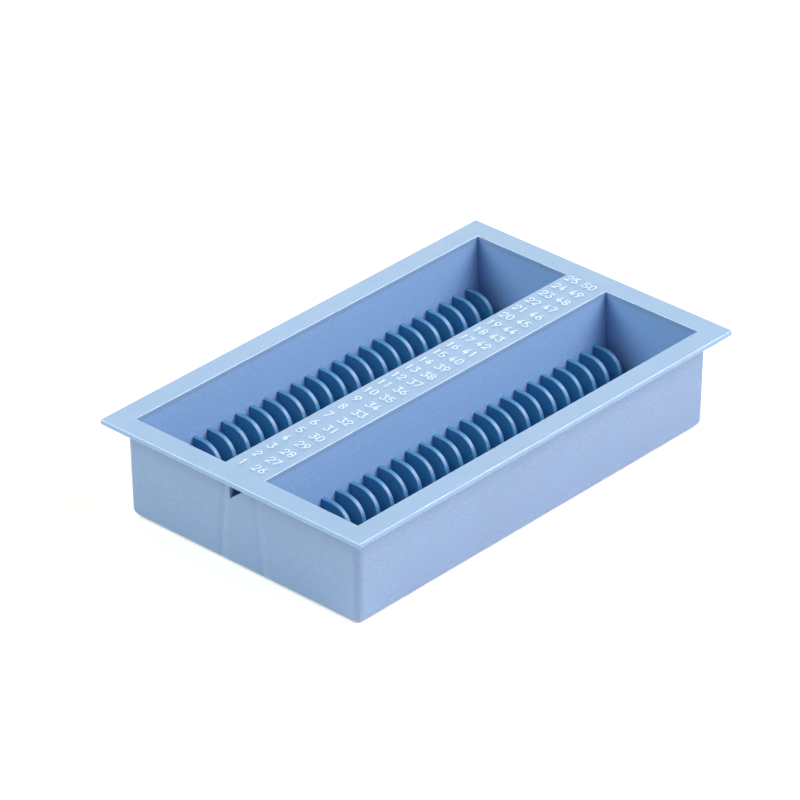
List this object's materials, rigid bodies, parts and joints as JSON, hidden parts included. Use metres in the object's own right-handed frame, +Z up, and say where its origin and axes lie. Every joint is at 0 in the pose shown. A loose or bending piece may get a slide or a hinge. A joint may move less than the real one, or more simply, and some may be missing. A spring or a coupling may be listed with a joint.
{
  "type": "microscope slide tray",
  "caption": "Open moulded tray with long channels of rounded fins that hold glass slides upright, numbered places along the divider, and a flat overhanging rim.",
  "frame": {"origin": "middle of the underside, on the surface that the tray stands on", "axes": "+X along the tray from place 1 to place 25, +Y to the rear long side, +Z up"},
  "size_m": [0.208, 0.1304, 0.0417],
  "materials": {
    "tray_plastic": "fine satin moulded texture",
    "numeral_plastic": "same plastic, smoother and paler where it stands proud"
  },
  "bodies": {
    "root": {"divider_front_side": "tray_plastic", "divider_rear_side": "tray_plastic", "divider_top": "tray_plastic", "fins_01": "tray_plastic", "fins_02": "tray_plastic", "fins_03": "tray_plastic", "fins_04": "tray_plastic", "fins_05": "tray_plastic", "fins_06": "tray_plastic", "fins_07": "tray_plastic", "fins_08": "tray_plastic", "fins_09": "tray_plastic", "fins_10": "tray_plastic", "fins_11": "tray_plastic", "fins_12": "tray_plastic", "fins_13": "tray_plastic", "fins_14": "tray_plastic", "fins_15": "tray_plastic", "fins_16": "tray_plastic", "fins_17": "tray_plastic", "fins_18": "tray_plastic", "fins_19": "tray_plastic", "fins_20": "tray_plastic", "fins_21": "tray_plastic", "fins_22": "tray_plastic", "fins_23": "tray_plastic", "fins_24": "tray_plastic", "front_channel_floor": "tray_plastic", "front_long_wall": "tray_plastic", "front_rim_rail": "tray_plastic", "left_end_wall": "tray_plastic", "left_rim_rail": "tray_plastic", "numerals_01_to_25": "numeral_plastic", "numerals_26_to_50": "numeral_plastic", "rear_channel_floor": "tray_plastic", "rear_long_wall": "tray_plastic", "rear_rim_rail": "tray_plastic", "right_end_wall": "tray_plastic", "right_rim_rail": "tray_plastic"}
  },
  "joints": []
}
